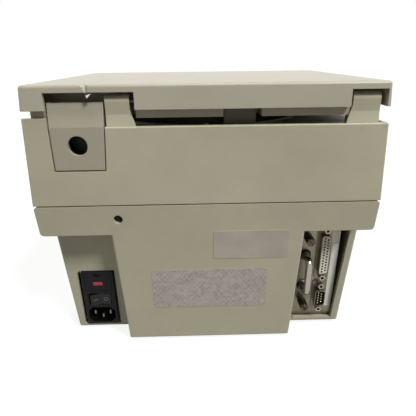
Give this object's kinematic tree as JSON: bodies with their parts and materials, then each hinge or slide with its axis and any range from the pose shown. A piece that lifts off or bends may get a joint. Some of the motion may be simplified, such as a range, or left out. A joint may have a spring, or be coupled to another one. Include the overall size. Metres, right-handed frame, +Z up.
{
  "type": "sedimentation rate analyzer",
  "caption": "Bench blood sedimentation analyzer: lidded rotor chamber, sloping keypad front, rear mains inlet and a pull-out interface module with bow handle.",
  "frame": {"origin": "middle of the footprint, on the table under the rubber feet", "axes": "+Z up, -Y is the front with the sloping keypad, +Y is the rear with the mains inlet and interface module, +X is to the right of someone who faces the front"},
  "size_m": [0.264, 0.325, 0.2208],
  "materials": {
    "casing": "fine satin texture, warm light grey",
    "lid": "fine satin texture, warm off-white",
    "pan": "smooth matt inner moulding",
    "zinc": "zinc-plated sheet",
    "steel": "bright machined steel",
    "chrome": "nickel plated",
    "aluminium": "plain brushed sheet",
    "brass": "tinned brass",
    "rubber": "matt black rubber",
    "grey_rubber": "dark grey sponge rubber",
    "black_plastic": "black moulded plastic",
    "black_gloss": "glossy black plastic",
    "white_plastic": "white insulator",
    "red_plastic": "translucent red plastic",
    "overlay": "printed film",
    "window": "tinted clear pane",
    "board": "green laminate",
    "winding": "laminated core with taped winding",
    "label_silver": "silver-grey film, blank",
    "label_white": "white film, blank",
    "fuse_glass": "glass tube"
  },
  "bodies": {
    "housing": {"base_shell": "casing", "upper_shell": "casing", "bottom_plate": "zinc", "rubber_feet": "rubber", "case_screws": "steel", "hinge_cover": "casing", "hinge_pin_left": "steel", "hinge_pin_right": "steel", "interlock_switch": "black_plastic", "keypad_overlay": "overlay", "display_window": "window", "display_module": "black_plastic", "main_board": "board", "rotor_bowl": "aluminium", "bowl_gasket": "grey_rubber", "light_source": "black_plastic", "light_sensor": "black_plastic", "drive_motor": "black_plastic", "motor_plate": "zinc", "motor_posts": "zinc", "motor_grommets": "rubber", "supply_board": "board", "transformer": "winding", "lock_solenoid": "zinc", "module_frame": "zinc", "card_guides": "black_plastic", "card_socket": "black_plastic", "inlet_bracket": "zinc", "inlet_body": "black_plastic", "inlet_pins": "brass", "upper_label": "label_silver", "rating_label": "label_silver"},
    "lid": {"lid_shell": "lid", "lid_pan": "pan", "lid_strike": "steel"},
    "rotor": {"rotor_plate": "aluminium", "tube_cradles": "black_plastic", "tube_pads": "grey_rubber", "rotor_hub": "aluminium", "rotor_nut": "black_plastic", "motor_shaft": "steel"},
    "interface_module": {"interface_panel": "aluminium", "interface_board": "board", "bow_handle": "aluminium", "parallel_shell": "chrome", "parallel_insert": "white_plastic", "serial_shell": "chrome", "serial_insert": "black_plastic", "serial_pins": "brass", "jackscrews": "steel", "panel_label": "label_white"},
    "captive_screw_upper": {"captive_screw_upper": "chrome"},
    "captive_screw_lower": {"captive_screw_lower": "chrome"},
    "rocker": {"rocker_switch": "black_gloss"},
    "fuse_drawer": {"fuse_drawer": "black_plastic", "fuse_window": "red_plastic", "fuses": "fuse_glass"},
    "lock_bolt": {"lock_bolt": "steel"}
  },
  "joints": [
    {"name": "lid_hinge", "type": "hinge", "parent": "housing", "child": "lid", "pos_m": [0, 0.1525, 0.209], "axis": [-1, 0, 0], "range_deg": [0, 92]},
    {"name": "rotor_spin", "type": "hinge", "parent": "housing", "child": "rotor", "pos_m": [0, 0.0545, 0.15], "axis": [0, 0, 1], "continuous": true},
    {"name": "module_slide", "type": "slide", "parent": "housing", "child": "interface_module", "axis": [0, 1, 0], "range_m": [0, 0.08]},
    {"name": "upper_screw_turn", "type": "hinge", "parent": "interface_module", "child": "captive_screw_upper", "pos_m": [-0.0863, 0.13, 0.0924], "axis": [0, 1, 0], "continuous": true},
    {"name": "lower_screw_turn", "type": "hinge", "parent": "interface_module", "child": "captive_screw_lower", "pos_m": [-0.0863, 0.13, 0.0259], "axis": [0, 1, 0], "continuous": true},
    {"name": "rocker_rock", "type": "hinge", "parent": "housing", "child": "rocker", "pos_m": [0.099, 0.1363, 0.0342], "axis": [0, 0, 1], "range_deg": [-14, 0]},
    {"name": "drawer_slide", "type": "slide", "parent": "housing", "child": "fuse_drawer", "axis": [0, 1, 0], "range_m": [0, 0.022]},
    {"name": "bolt_slide", "type": "slide", "parent": "housing", "child": "lock_bolt", "axis": [0, -1, 0], "range_m": [0, 0.007], "stiffness_N_per_m": 60}
  ]
}
